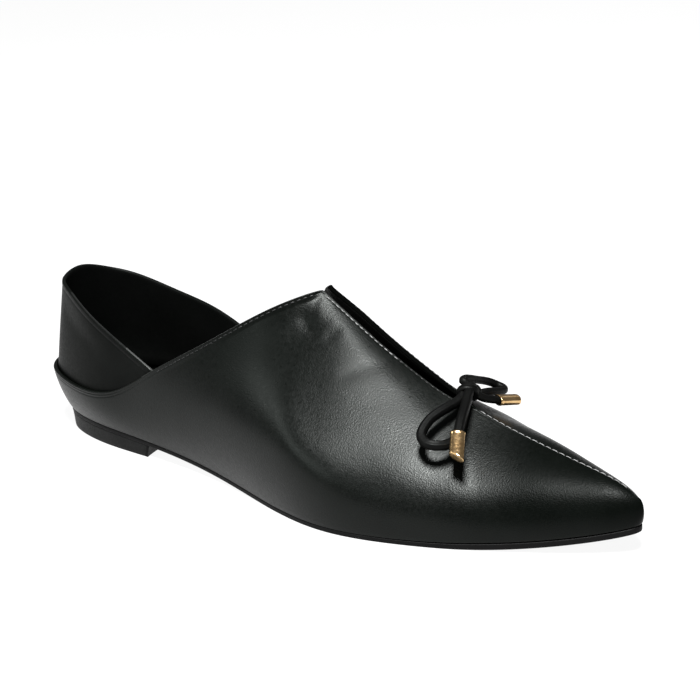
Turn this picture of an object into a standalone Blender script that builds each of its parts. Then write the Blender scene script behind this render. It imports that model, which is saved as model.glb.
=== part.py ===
"""A right-foot pointed flat shoe: lasted upper with a centre slit, inner heel panel,
insole, outsole, low heel and a cord bow with metal ends.

Tables are in millimetres, measured from the back of the heel: x towards the toe,
y to the inner (medial) side, z up from the floor.  Rows run from the back of the
heel to the tip of the toe; each side has its own columns.
"""
import bpy
import bmesh
import numpy as np
from mathutils import Matrix, Vector

MM = 0.001
ORIGIN = np.array([131.78, -1.78, 0.0])     # middle of the shoe's footprint

# ---------------------------------------------------------------- named sizes
SOLE_THICK = 1.6           # outsole under the heel, waist and ball
TOE_THICK = 2.1            # outsole under the toe
SEAT_HEIGHT = 6.2          # underside of the outsole over the heel block
SEAT_LENGTH = 110.0        # from the flat seat to the ball
BREAST_FOOT = 66.2         # front corners of the heel block on the floor
BREAST_HEAD = 67.8         # ... and under the sole
BREAST_HOLLOW = 4.5        # the front of the heel block curves in
HEEL_BACK = 0.2            # how far the heel's foot is set in at the back
HEEL_INSET = 0.6           # ... and all round
BALL_START = 141.0         # the sole lies flat on the floor from here
BALL_END = 205.0           # ... to here, then the toe springs
TOE_TIP = 262.0
TOE_SPRING = 7.5
WALL = 1.6                 # upper with its lining
PANEL_WALL = 1.4           # inner heel panel
INSOLE_THICK = 2.2
CLEAR = 0.3
PANEL_FOOT = 16.0          # lower edge of the heel panel, inside the counter
CORD_RADIUS = 1.55
TIP_WIDE = 2.45            # half width of the oval metal ends
TIP_NARROW = 1.7

# ---------------------------------------------------------------- tables
# feather edge, where the upper meets the sole
FEATHER = np.array([
    # x     outer   inner
    [6.9,    0.0,   0.0],
    [10.6, -11.5,  11.2],
    [21.0, -18.9,  18.5],
    [38.0, -23.4,  22.6],
    [58.0, -24.8,  23.0],
    [80.0, -25.3,  21.5],
    [100.0, -27.0, 20.8],
    [118.0, -30.2, 22.2],
    [134.0, -34.0, 25.6],
    [148.0, -37.4, 29.5],
    [160.0, -39.2, 32.8],
    [172.0, -39.0, 35.2],
    [185.0, -36.4, 36.2],
    [199.0, -31.7, 34.8],
    [213.0, -25.7, 31.4],
    [227.0, -18.7, 26.4],
    [240.0, -11.6, 20.6],
    [251.0, -5.2,  15.2],
    [258.5,  0.0,  10.3],
    [262.0,  5.0,   5.0]])
APEX = 10                  # row of the throat's top corners
SLIT = 14                  # row of the slit's foot
LAST = len(FEATHER) - 1

# upper edge of the outer panel: counter, junction with the collar, topline, throat corner
EDGE = np.array([
    # x     outer  outer_z inner  inner_z
    [1.0,    0.0,  25.9,   0.0,  25.9],
    [4.2,  -13.5,  24.8,  13.5,  24.8],
    [15.0, -21.4,  23.2,  21.4,  23.2],
    [36.0, -27.0,  22.3,  27.0,  22.3],
    [55.0, -27.6,  25.8,  27.6,  25.8],
    [74.0, -27.0,  36.2,  27.0,  36.2],
    [92.0, -25.5,  46.1,  25.5,  44.9],
    [109.0, -22.3, 55.8,  22.0,  53.9],
    [122.5, -17.2, 63.8,  16.5,  61.8],
    [132.0, -10.3, 68.7,   8.6,  68.5],
    [139.0,  -2.8, 71.4,   2.2,  71.8]])

# ridge line from the throat corner down the slit and the centre seam to the toe
RIDGE = np.array([
    # x     y      z
    [139.0, 0.0, 71.5],
    [151.5, 0.5, 63.8],
    [166.0, 1.1, 54.8],
    [182.0, 1.7, 46.1],
    [194.0, 2.2, 40.3],
    [209.0, 2.8, 34.7],
    [226.0, 3.5, 29.9],
    [242.0, 4.2, 26.0],
    [254.0, 4.7, 22.8],
    [261.8, 5.0, 18.8]])

# half widths of the open slit on each side of the ridge line
GAP = np.array([
    # row  outer  inner
    [10.0,  2.8,  2.2],
    [11.0,  2.8,  3.2],
    [12.0,  2.45, 3.2],
    [13.0,  2.1,  3.0],
    [14.0,  1.5,  2.4],
    [14.5,  0.0,  0.0],
    [19.0,  0.0,  0.0]])

# cross shape of the wall: outward lean at the feather and slope below level at the
# upper edge (degrees), and how full the curve is towards each end
RIB = np.array([
    # lean  low slope high  inner_low inner_slope inner_high
    [48, .24, 112, .34, .24, 112, .34],
    [42, .26, 104, .34, .26, 104, .34],
    [33, .34, 95, .34, .34, 95, .34],
    [27, .42, 88, .34, .42, 88, .34],
    [25, .42, 86, .34, .42, 86, .34],
    [24, .42, 80, .34, .42, 80, .34],
    [23, .42, 74, .36, .42, 72, .36],
    [21, .46, 72, .40, .42, 65, .38],
    [18, .51, 69, .46, .42, 61, .40],
    [14, .54, 62, .57, .42, 58, .42],
    [11, .53, 54, .68, .42, 56, .44],
    [9, .44, 47, .75, .42, 55, .46],
    [8, .34, 40, .73, .43, 53, .47],
    [8, .36, 36, .66, .45, 43, .48],
    [8, .41, 34, .57, .48, 29, .48],
    [9, .46, 29, .48, .50, 15, .48],
    [10, .50, 23, .47, .52, 8, .47],
    [11, .52, 20, .46, .52, 14, .46],
    [13, .50, 22, .45, .50, 27, .45],
    [16, .46, 50, .42, .46, 50, .42]])

# top edge of the inner heel panel
COLLAR = np.array([
    # x     outer  outer_z inner inner_z
    [8.7,    0.0,  61.7,   0.0,  61.7],
    [12.0, -11.6,  60.1,  11.6,  58.9],
    [22.0, -18.6,  58.2,  19.3,  55.3],
    [39.0, -24.4,  52.3,  24.0,  49.8],
    [57.0, -25.8,  43.9,  25.4,  45.3],
    [74.0, -25.4,  35.0,  25.4,  38.6],
    [88.0, -24.6,  27.4,  24.6,  31.0]])
APEX_ROUND = 0.8           # rows over which the apex corner is rounded below the edge
PANEL_END = 5.7            # row where the heel panel ends, hidden inside the outer panel

# the bow: knot, and the middle lines of its cords
KNOT_AT = np.array([196.6, 3.6, 43.9])
KNOT_RADII = (3.2, 4.0, 2.8)
KNOT_PITCH = 26.0          # lies along the ridge
NEAR_LOOP = [
    # x      y      z
    (197.6, -2.3, 42.2),
    (197.0, -7.8, 41.0),
    (196.0, -12.2, 40.0),
    (195.2, -16.4, 38.5),
    (195.4, -20.2, 36.6),
    (196.4, -22.6, 35.0),
    (198.7, -23.7, 33.8),
    (200.9, -23.6, 33.3),
    (203.0, -22.1, 33.0),
    (204.6, -19.4, 32.9),
    (204.9, -15.7, 33.7),
    (203.5, -11.0, 35.7),
    (201.3, -6.2, 37.9),
    (200.0, -3.7, 39.1)]
FAR_LOOP = [
    (194.2, 4.0, 46.0),
    (193.7, 6.6, 45.9),
    (193.5, 10.5, 44.5),
    (193.5, 14.8, 42.9),
    (194.2, 18.5, 41.4),
    (195.6, 20.8, 40.0),
    (197.5, 21.4, 39.2),
    (198.8, 20.3, 38.8),
    (199.1, 17.0, 39.4),
    (198.9, 13.0, 40.4),
    (198.4, 9.6, 40.9),
    (198.0, 6.9, 41.1)]
NEAR_TAIL = [
    (199.3, -0.2, 43.8),
    (201.4, -4.4, 42.5),
    (203.6, -9.0, 40.9),
    (205.5, -13.2, 39.2),
    (207.1, -16.8, 37.3)]
FAR_TAIL = [
    (200.5, 5.2, 41.0),
    (201.7, 8.0, 39.7),
    (202.4, 10.2, 39.0)]
NEAR_TIP = ((207.5, -17.6, 36.8), (211.9, -24.6, 31.5))
FAR_TIP = ((203.0, 11.0, 38.7), (205.8, 18.5, 37.3))


# ---------------------------------------------------------------- curves
def spline(rows, at):
    """natural cubic through the rows, at fractional row numbers"""
    v = np.asarray(rows, float)
    n = len(v)
    a = np.eye(n)
    r = np.zeros_like(v)
    for i in range(1, n - 1):
        a[i, i - 1:i + 2] = 1, 4, 1
        r[i] = 6 * (v[i - 1] - 2 * v[i] + v[i + 1])
    m = np.linalg.solve(a, r)
    at = np.asarray(at, float)
    i = np.clip(np.floor(at).astype(int), 0, n - 2)
    t = (at - i)[:, None]
    s = 1 - t
    return s * v[i] + t * v[i + 1] + ((s ** 3 - s) * m[i] + (t ** 3 - t) * m[i + 1]) / 6


def columns(table, side):
    """(this side's columns, the other side's) of a table; side -1 outer, +1 inner"""
    n = (table.shape[1] - 1) // 2
    outer, inner = [0] + list(range(1, 1 + n)), [0] + list(range(1 + n, 1 + 2 * n))
    return (table[:, outer], table[:, inner]) if side < 0 else (table[:, inner], table[:, outer])


def past_heel(table, side):
    """rows of one side led in by the other side's, so that the heel back is smooth"""
    own, other = columns(table, side)
    return np.vstack([other[:0:-1], own])


def sole_under(x):
    """underside of the outsole: seat, waist, flat ball, toe spring"""
    x = np.asarray(x, float)
    t = np.clip((BALL_START - x) / SEAT_LENGTH, 0, 1)
    s = np.clip((x - BALL_END) / (TOE_TIP - BALL_END), 0, 1.05)
    return SEAT_HEIGHT * np.sin(t * np.pi / 2) ** 1.5 + TOE_SPRING * s * s


def sole_top(x):
    t = np.clip((np.asarray(x, float) - 190.0) / 35.0, 0, 1)
    return sole_under(x) + SOLE_THICK + (TOE_THICK - SOLE_THICK) * t * t * (3 - 2 * t)


def outline(side, q, inset=0.0):
    """feather edge in plan and its outward direction"""
    own, other = columns(FEATHER, side)
    loop = np.vstack([other[:0:-1], own, other[-2:-6:-1]])
    at = np.asarray(q, float) + LAST
    p = spline(loop, at)
    d = spline(loop, at + .01) - spline(loop, at - .01)
    out = np.column_stack([d[:, 1], -d[:, 0]]) * (1 if side < 0 else -1)
    out /= np.linalg.norm(out, axis=1)[:, None]
    return p - out * inset, out


def slit_half(side, q):
    return np.interp(q, GAP[:, 0], GAP[:, 1 if side < 0 else 2])


def head_line(side, q):
    """upper edge: round the opening to the apex, then down the slit and the centre seam"""
    lower = spline(past_heel(EDGE, side), np.minimum(q, APEX) + APEX)
    upper = spline(RIDGE, np.maximum(q - APEX, 0))
    upper[:, 1] += side * slit_half(side, q)
    return np.where((q <= APEX)[:, None], lower, upper)


def ribs(side, q, w):
    """outer face of the upper: w = 0 at the feather edge, 1 at the upper edge"""
    q = np.asarray(q, float)
    p, o2 = outline(side, q)
    foot = np.column_stack([p, sole_top(p[:, 0]) + CLEAR])
    o = np.column_stack([o2, np.zeros(len(q))])
    tip = head_line(side, q)
    # the corner at the apex fades out below the edge
    near = APEX_ROUND * np.exp(-((q - APEX) / 1.4) ** 2)
    steps = np.linspace(-1, 1, 9)
    share = (1.1 - np.abs(steps)) / (1.1 - np.abs(steps)).sum()
    head = sum(a * head_line(side, np.minimum(q + b * near, LAST)) for a, b in zip(share, steps))
    rib = spline(RIB, q)
    k = 1 if side < 0 else 4
    lean, slope = np.radians(rib[:, 0])[:, None], np.radians(rib[:, k + 1])[:, None]
    rise = (head - foot)[:, 2:3]
    reach = np.abs(((foot - head) * o).sum(1))[:, None]
    z = np.array([0., 0., 1.])
    c1 = foot + (o * np.sin(lean) + z * np.cos(lean)) * rib[:, k:k + 1] * rise
    c2 = head + (o * np.cos(slope) - z * np.sin(slope)) * rib[:, k + 2:k + 3] * (
        np.cos(slope) * reach + np.sin(slope) * rise)
    w = np.asarray(w, float)[None, :, None]
    return ((1 - w) ** 3 * foot[:, None] + 3 * (1 - w) ** 2 * w * c1[:, None]
            + 3 * (1 - w) * w * w * c2[:, None] + w ** 3 * head[:, None]
            + w ** 6 * (tip - head)[:, None])


def rib_normals(side, q, w):
    """outward unit normals of the upper's outer face"""
    h = .01
    q = np.asarray(q, float)
    w = np.asarray(w, float)
    along = ribs(side, q + h, w) - ribs(side, np.maximum(q - h, 0), w)
    up = ribs(side, q, np.minimum(w + h, 1)) - ribs(side, q, np.maximum(w - h, 0))
    n = np.cross(along, up) * -side
    return n / np.linalg.norm(n, axis=2)[:, :, None]


def heel_panel(side, q, levels):
    """outer face of the heel panel: inside the counter, then up to the collar"""
    w = np.linspace(0, 1, 61)
    inner = ribs(side, q, w) - rib_normals(side, q, w) * (WALL + CLEAR + .08)
    top = spline(past_heel(COLLAR, side), np.asarray(q) + len(COLLAR) - 1)
    back = np.exp(-(np.asarray(q) / 2.2) ** 2)
    out = np.zeros((len(q), len(levels), 3))
    for i in range(len(q)):
        c = inner[i]
        edge, before = c[-1], c[-8]
        rise = top[i, 2] - edge[2]
        zs = PANEL_FOOT + (top[i, 2] - PANEL_FOOT) * levels
        for j, z in enumerate(zs):
            if z <= edge[2] or rise < .4:
                xy = [np.interp(z, c[:, 2], c[:, k]) for k in (0, 1)]
            else:
                t = (z - edge[2]) / rise
                m1 = (top[i] - edge)[:2]
                m0 = (edge - before)[:2] / (edge - before)[2] * rise * (1 - back[i]) + m1 * 2.2 * back[i]
                xy = ((2 * t ** 3 - 3 * t * t + 1) * edge[:2] + (t ** 3 - 2 * t * t + t) * m0
                      + (3 * t * t - 2 * t ** 3) * top[i, :2] + (t ** 3 - t * t) * m1)
            out[i, j] = xy[0], xy[1], z
    return out


# ---------------------------------------------------------------- scene set-up
for thing in list(bpy.data.objects):
    bpy.data.objects.remove(thing)

shoe = bpy.data.collections.new("flat_shoe")
bpy.context.scene.collection.children.link(shoe)


def material(name, colour, rough, metal=0.0):
    m = bpy.data.materials.new(name)
    m.use_nodes = True
    b = m.node_tree.nodes["Principled BSDF"]
    b.inputs["Base Color"].default_value = (*colour, 1)
    b.inputs["Roughness"].default_value = rough
    b.inputs["Metallic"].default_value = metal
    return m


def place(name, points, faces, mat):
    """mesh object from points in shoe millimetres"""
    pts = (np.asarray(points, float) - ORIGIN) * MM
    mesh = bpy.data.meshes.new(name)
    mesh.from_pydata([tuple(p) for p in pts], [], [tuple(f) for f in faces])
    mesh.materials.append(mat)
    mesh.validate()
    ob = bpy.data.objects.new(name, mesh)
    shoe.objects.link(ob)
    return ob


def thicken(ob, depth):
    s = ob.modifiers.new("wall", "SOLIDIFY")
    s.thickness = depth * MM
    s.offset = -1
    s.use_even_offset = True
    s.use_quality_normals = True
    return ob


class Sheet:
    """points shared between grids, with faces between them"""

    def __init__(self):
        self.points, self.faces, self.seen = [], [], {}

    def at(self, p):
        key = tuple(np.round(p, 4))
        if key not in self.seen:
            self.seen[key] = len(self.points)
            self.points.append(np.asarray(p, float))
        return self.seen[key]

    def grid(self, g, flip):
        ids = [[self.at(p) for p in row] for row in g]
        for a, b in zip(ids, ids[1:]):
            for j in range(len(a) - 1):
                f = [a[j], b[j], b[j + 1], a[j + 1]]
                f = [v for k, v in enumerate(f) if v != f[k - 1]]
                if len(f) > 2:
                    self.faces.append(f[::-1] if flip else f)


# ---------------------------------------------------------------- upper
ROWS = np.linspace(0, LAST, 2 * LAST + 1)
LEVELS = np.array([0, .08, .17, .27, .38, .5, .62, .73, .83, .92, 1.0])
black = (.012, .012, .013)
sheet = Sheet()
walls = {s: ribs(s, ROWS, LEVELS) for s in (-1, 1)}
shared = (walls[-1] + walls[1]) / 2
for s in (-1, 1):
    walls[s][0] = shared[0]            # heel back
    walls[s][-1] = shared[-1]          # toe
    closed = ROWS >= SLIT + .5         # centre seam below the slit
    walls[s][closed, -1] = shared[closed, -1]
    sheet.grid(walls[s], flip=s > 0)
upper = thicken(place("upper", sheet.points, sheet.faces,
                      material("upper_leather", black, .38)), WALL)

# ---------------------------------------------------------------- inner heel panel
panel_rows = np.linspace(0, PANEL_END, 24)
panel_levels = np.array([0, .1, .2, .3, .4, .5, .6, .7, .8, .9, 1.0])
sheet = Sheet()
halves = {s: heel_panel(s, panel_rows, panel_levels) for s in (-1, 1)}
middle = (halves[-1][0] + halves[1][0]) / 2
for s in (-1, 1):
    halves[s][0] = middle
    sheet.grid(halves[s], flip=s > 0)
back_panel = thicken(place("back_panel", sheet.points, sheet.faces,
                           material("panel_leather", black, .42)), PANEL_WALL)

# ---------------------------------------------------------------- outsole and insole
def plate(inset, height):
    """strips across the foot between the two outlines, at a height that follows x"""
    a, b = outline(-1, ROWS, inset)[0], outline(1, ROWS, inset)[0]
    a[0] = b[0] = (a[0] + b[0]) / 2
    a[-1] = b[-1] = (a[-1] + b[-1]) / 2
    across = np.linspace(0, 1, 5)[None, :, None]
    xy = a[:, None] * (1 - across) + b[:, None] * across
    return np.concatenate([xy, height(xy[:, :, 0])[:, :, None]], axis=2)


def slab(name, low, high, mat):
    """closed plate between a lower and an upper face"""
    sheet = Sheet()
    sheet.grid(low, flip=True)
    sheet.grid(high, flip=False)
    sheet.grid(np.stack([low[:, 0], high[:, 0]], axis=1), flip=False)
    sheet.grid(np.stack([low[:, -1], high[:, -1]], axis=1), flip=True)
    return place(name, sheet.points, sheet.faces, mat)


outsole = slab("outsole", plate(0, sole_under), plate(0, sole_top),
               material("sole_rubber", (.014, .014, .014), .55))
BED = WALL + .5
insole = slab("insole", plate(BED, lambda x: sole_top(x) + CLEAR),
              plate(BED, lambda x: sole_top(x) + CLEAR + INSOLE_THICK),
              material("insole_lining", (.01, .01, .01), .6))

# ---------------------------------------------------------------- heel block
def heel_level(inset, front, set_in, height):
    """outline from the outer front corner round the back to the inner one, and the hollow
    front between the same corners"""
    q = np.linspace(0, 6, 121)
    half = []
    for s in (-1, 1):
        p = outline(s, q, inset)[0]
        stop = np.interp(front, p[:, 0], q)
        half.append(outline(s, np.linspace(0, 1, 13) ** 1.2 * stop, inset)[0])
    back = (half[0][:1] + half[1][:1]) / 2
    loop = np.vstack([half[0][:0:-1], back, half[1][1:]])
    loop[:, 0] += set_in * np.clip((25 - loop[:, 0]) / 20, 0, 1)
    y = np.linspace(loop[0, 1], loop[-1, 1], len(loop))
    bow = np.clip((y - y[0]) * (y[-1] - y) / ((y[-1] - y[0]) / 2) ** 2, 0, 1)
    face = np.column_stack([front - BREAST_HOLLOW * bow, y])
    face[[0, -1]] = loop[[0, -1]]
    return [np.column_stack([c, height(c[:, 0])]) for c in (loop, face)]


floor_level = heel_level(HEEL_INSET + .3, BREAST_FOOT - .3, HEEL_BACK, lambda x: 0 * x)
foot_level = heel_level(HEEL_INSET, BREAST_FOOT, HEEL_BACK, lambda x: 0 * x + .3)
seat_level = heel_level(.15, BREAST_HEAD, 0, lambda x: sole_under(x) - CLEAR)
sheet = Sheet()
for low, high in ((floor_level, foot_level), (foot_level, seat_level)):
    sheet.grid([low[0], high[0]], flip=False)
    sheet.grid([low[1], high[1]], flip=True)
sheet.grid(floor_level, flip=True)
sheet.grid(seat_level, flip=False)
heel = place("heel", sheet.points, sheet.faces, material("heel_rubber", (.013, .013, .013), .5))

# ---------------------------------------------------------------- bow
cord_black = material("cord_leather", (.011, .011, .011), .5)
gold = material("gold_metal", (.83, .55, .24), .22, 1.0)

bm = bmesh.new()
bmesh.ops.create_uvsphere(bm, u_segments=18, v_segments=10, radius=1.0)
turn = Matrix.Rotation(np.radians(KNOT_PITCH), 4, "Y")
centre = Vector((KNOT_AT - ORIGIN) * MM)
bmesh.ops.transform(bm, verts=bm.verts, matrix=Matrix.Translation(centre) @ turn
                    @ Matrix.Diagonal((*[r * MM for r in KNOT_RADII], 1)))
mesh = bpy.data.meshes.new("bow_knot")
bm.to_mesh(mesh)
bm.free()
mesh.materials.append(cord_black)
shoe.objects.link(bpy.data.objects.new("bow_knot", mesh))


def clear_of_knot(path):
    """the part of a cord's middle line where the whole cord stays outside the knot"""
    c, s = np.cos(np.radians(KNOT_PITCH)), np.sin(np.radians(KNOT_PITCH))
    t = np.gradient(path, axis=0)
    t /= np.linalg.norm(t, axis=1)[:, None]
    a = np.cross(t, (.2, .1, 1.0))
    a /= np.linalg.norm(a, axis=1)[:, None]
    b = np.cross(t, a)
    free = np.ones(len(path), bool)
    for g in np.arange(12) * np.pi / 6:
        d = path + CORD_RADIUS * (np.cos(g) * a + np.sin(g) * b) - KNOT_AT
        d = np.column_stack([c * d[:, 0] - s * d[:, 2], d[:, 1], s * d[:, 0] + c * d[:, 2]])
        free &= ((d / (np.array(KNOT_RADII) + CLEAR)) ** 2).sum(1) > 1
    return path[free]


def cord(name, rows, steps):
    """round cord along a smooth line through the rows, cut back to the knot"""
    fine = clear_of_knot(spline(rows, np.linspace(0, len(rows) - 1, 241)))
    path = fine[np.round(np.linspace(0, len(fine) - 1, steps)).astype(int)]
    crv = bpy.data.curves.new(name, "CURVE")
    crv.dimensions = "3D"
    crv.bevel_depth = CORD_RADIUS * MM
    crv.bevel_resolution = 2
    crv.use_fill_caps = True
    line = crv.splines.new("POLY")
    line.points.add(len(path) - 1)
    for pt, p in zip(line.points, (path - ORIGIN) * MM):
        pt.co = (*p, 1)
    crv.materials.append(cord_black.copy())
    ob = bpy.data.objects.new(name, crv)
    shoe.objects.link(ob)
    return ob


cord("bow_loop_near", NEAR_LOOP, 25)
cord("bow_loop_far", FAR_LOOP, 23)
cord("bow_tail_near", NEAR_TAIL, 8)
cord("bow_tail_far", FAR_TAIL, 5)


def metal_end(name, ends, slant, wide):
    """oval metal sleeve on the cord's end, cut at a slant"""
    a, b = np.array(ends[0]), np.array(ends[1])
    length = np.linalg.norm(b - a)
    axis = (b - a) / length
    u = np.array(wide, float)
    u -= axis * (u @ axis)
    u /= np.linalg.norm(u)
    v = np.cross(axis, u)
    n = 24
    g = np.arange(n) * 2 * np.pi / n
    rings = []
    for along, size in ((0, .88), (.3, 1.0), (length - .3, 1.0), (length, .88)):
        x, y = size * TIP_WIDE * np.cos(g), size * TIP_NARROW * np.sin(g)
        push = slant * x * (along > length / 2)
        rings.append(a + axis * (along + push)[:, None] + u * x[:, None] + v * y[:, None])
    faces = [[i * n + j, i * n + (j + 1) % n, (i + 1) * n + (j + 1) % n, (i + 1) * n + j]
             for i in range(3) for j in range(n)]
    faces.append(list(range(n))[::-1])
    faces.append([3 * n + j for j in range(n)])
    return place(name, np.vstack(rings), faces, gold.copy())


metal_end("cord_tip_near", NEAR_TIP, .55, (.758, .652, 0))
metal_end("cord_tip_far", FAR_TIP, 0.0, (.62, -.72, 0))
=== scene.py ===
"""Looks of the right-foot pointed flat shoe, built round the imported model.

All shapes are worked out in shoe millimetres (x from the heel back to the toe, y to
the inner side, z up from the floor) and moved into the shared frame in metres.
"""
import math

import bpy
import numpy as np
from mathutils import Matrix, Vector


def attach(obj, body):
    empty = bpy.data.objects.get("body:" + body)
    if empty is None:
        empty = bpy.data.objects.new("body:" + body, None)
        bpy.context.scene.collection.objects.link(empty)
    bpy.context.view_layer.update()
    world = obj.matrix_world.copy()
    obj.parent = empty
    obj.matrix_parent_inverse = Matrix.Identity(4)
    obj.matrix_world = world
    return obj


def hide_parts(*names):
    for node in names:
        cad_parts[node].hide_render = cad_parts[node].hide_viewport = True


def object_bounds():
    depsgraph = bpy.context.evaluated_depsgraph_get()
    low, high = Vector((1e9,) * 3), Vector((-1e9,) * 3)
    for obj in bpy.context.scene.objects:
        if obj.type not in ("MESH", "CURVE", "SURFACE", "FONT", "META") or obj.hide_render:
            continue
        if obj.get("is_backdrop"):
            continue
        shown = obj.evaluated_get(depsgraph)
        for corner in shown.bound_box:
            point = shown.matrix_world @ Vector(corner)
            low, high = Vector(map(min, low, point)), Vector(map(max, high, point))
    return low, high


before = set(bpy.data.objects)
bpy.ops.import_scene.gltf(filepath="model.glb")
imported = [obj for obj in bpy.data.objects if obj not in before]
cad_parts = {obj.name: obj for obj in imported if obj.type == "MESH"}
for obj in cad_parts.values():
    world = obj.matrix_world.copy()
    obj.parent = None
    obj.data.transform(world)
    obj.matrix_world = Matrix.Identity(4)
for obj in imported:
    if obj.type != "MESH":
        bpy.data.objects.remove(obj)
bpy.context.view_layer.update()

MM = 0.001
ORIGIN = np.array([131.78, -1.78, 0.0])
scene = bpy.context.scene

# ---------------------------------------------------------------- named sizes
SOLE_THICK = 1.6           # outsole under the heel, waist and ball
TOE_THICK = 2.1            # outsole under the toe
SEAT_HEIGHT = 6.2          # underside of the outsole over the heel block
SEAT_LENGTH = 110.0        # from the flat seat to the ball
BREAST_FOOT = 66.2
BREAST_HEAD = 67.8
BREAST_HOLLOW = 4.5        # the front of the heel block curves in
HEEL_BACK = 0.2            # how far the heel's foot is set in at the back
BALL_START = 141.0
BALL_END = 205.0
TOE_TIP = 262.0
TOE_SPRING = 7.5
WALL = 1.6
PANEL_WALL = 1.4
INSOLE_THICK = 2.2
CLEAR = 0.3
PANEL_FOOT = 16.0
TIP_WIDE = 2.45            # half width of the oval metal ends
TIP_NARROW = 1.7
FOLD_RADIUS = 0.55         # folded upper edge
SEAM_RADIUS = 0.3          # panel edges along the closed centre seam
TURN_RADIUS = 0.3          # upper turning in over the sole
TOE_TURN = 0.85
STITCH_PITCH = 2.3
STITCH_LONG = 1.7
STITCH_RADIUS = 0.17

# ---------------------------------------------------------------- tables
FEATHER = np.array([
    # x     outer   inner
    [6.9,    0.0,   0.0],
    [10.6, -11.5,  11.2],
    [21.0, -18.9,  18.5],
    [38.0, -23.4,  22.6],
    [58.0, -24.8,  23.0],
    [80.0, -25.3,  21.5],
    [100.0, -27.0, 20.8],
    [118.0, -30.2, 22.2],
    [134.0, -34.0, 25.6],
    [148.0, -37.4, 29.5],
    [160.0, -39.2, 32.8],
    [172.0, -39.0, 35.2],
    [185.0, -36.4, 36.2],
    [199.0, -31.7, 34.8],
    [213.0, -25.7, 31.4],
    [227.0, -18.7, 26.4],
    [240.0, -11.6, 20.6],
    [251.0, -5.2,  15.2],
    [258.5,  0.0,  10.3],
    [262.0,  5.0,   5.0]])
APEX = 10
SLIT = 14
LAST = len(FEATHER) - 1
EDGE = np.array([
    # x     outer  outer_z inner  inner_z
    [1.0,    0.0,  25.9,   0.0,  25.9],
    [4.2,  -13.5,  24.8,  13.5,  24.8],
    [15.0, -21.4,  23.2,  21.4,  23.2],
    [36.0, -27.0,  22.3,  27.0,  22.3],
    [55.0, -27.6,  25.8,  27.6,  25.8],
    [74.0, -27.0,  36.2,  27.0,  36.2],
    [92.0, -25.5,  46.1,  25.5,  44.9],
    [109.0, -22.3, 55.8,  22.0,  53.9],
    [122.5, -17.2, 63.8,  16.5,  61.8],
    [132.0, -10.3, 68.7,   8.6,  68.5],
    [139.0,  -2.8, 71.4,   2.2,  71.8]])
RIDGE = np.array([
    # x     y      z
    [139.0, 0.0, 71.5],
    [151.5, 0.5, 63.8],
    [166.0, 1.1, 54.8],
    [182.0, 1.7, 46.1],
    [194.0, 2.2, 40.3],
    [209.0, 2.8, 34.7],
    [226.0, 3.5, 29.9],
    [242.0, 4.2, 26.0],
    [254.0, 4.7, 22.8],
    [261.8, 5.0, 18.8]])
SEAM_HALF = 0.04
# half widths of the open slit on each side of the ridge line
GAP = np.array([
    # row  outer  inner
    [10.0,  2.8,  2.2],
    [11.0,  2.8,  3.2],
    [12.0,  2.45, 3.2],
    [13.0,  2.1,  3.0],
    [14.0,  1.5,  2.4],
    [14.5,  SEAM_HALF, SEAM_HALF],
    [18.6,  SEAM_HALF, SEAM_HALF],
    [19.0,  0.0,  0.0]])
RIB = np.array([
    # lean  low slope high  inner_low inner_slope inner_high
    [48, .24, 112, .34, .24, 112, .34],
    [42, .26, 104, .34, .26, 104, .34],
    [33, .34, 95, .34, .34, 95, .34],
    [27, .42, 88, .34, .42, 88, .34],
    [25, .42, 86, .34, .42, 86, .34],
    [24, .42, 80, .34, .42, 80, .34],
    [23, .42, 74, .36, .42, 72, .36],
    [21, .46, 72, .40, .42, 65, .38],
    [18, .51, 69, .46, .42, 61, .40],
    [14, .54, 62, .57, .42, 58, .42],
    [11, .53, 54, .68, .42, 56, .44],
    [9, .44, 47, .75, .42, 55, .46],
    [8, .34, 40, .73, .43, 53, .47],
    [8, .36, 36, .66, .45, 43, .48],
    [8, .41, 34, .57, .48, 29, .48],
    [9, .46, 29, .48, .50, 15, .48],
    [10, .50, 23, .47, .52, 8, .47],
    [11, .52, 20, .46, .52, 14, .46],
    [13, .50, 22, .45, .50, 27, .45],
    [16, .46, 50, .42, .46, 50, .42]])
COLLAR = np.array([
    # x     outer  outer_z inner inner_z
    [8.7,    0.0,  61.7,   0.0,  61.7],
    [12.0, -11.6,  60.1,  11.6,  58.9],
    [22.0, -18.6,  58.2,  19.3,  55.3],
    [39.0, -24.4,  52.3,  24.0,  49.8],
    [57.0, -25.8,  43.9,  25.4,  45.3],
    [74.0, -25.4,  35.0,  25.4,  38.6],
    [88.0, -24.6,  27.4,  24.6,  31.0]])
APEX_ROUND = 0.8           # rows over which the apex corner is rounded below the edge
PANEL_END = 5.7
KNOT_AT = np.array([196.6, 3.6, 43.9])
NEAR_LOOP = [
    # x      y      z
    (197.6, -2.3, 42.2),
    (197.0, -7.8, 41.0),
    (196.0, -12.2, 40.0),
    (195.2, -16.4, 38.5),
    (195.4, -20.2, 36.6),
    (196.4, -22.6, 35.0),
    (198.7, -23.7, 33.8),
    (200.9, -23.6, 33.3),
    (203.0, -22.1, 33.0),
    (204.6, -19.4, 32.9),
    (204.9, -15.7, 33.7),
    (203.5, -11.0, 35.7),
    (201.3, -6.2, 37.9),
    (199.0, -1.4, 40.2)]
FAR_LOOP = [
    (194.2, 4.0, 46.0),
    (193.7, 6.6, 45.9),
    (193.5, 10.5, 44.5),
    (193.5, 14.8, 42.9),
    (194.2, 18.5, 41.4),
    (195.6, 20.8, 40.0),
    (197.5, 21.4, 39.2),
    (198.8, 20.3, 38.8),
    (199.1, 17.0, 39.4),
    (198.9, 13.0, 40.4),
    (198.4, 9.6, 40.9),
    (198.0, 6.9, 41.1)]
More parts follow.
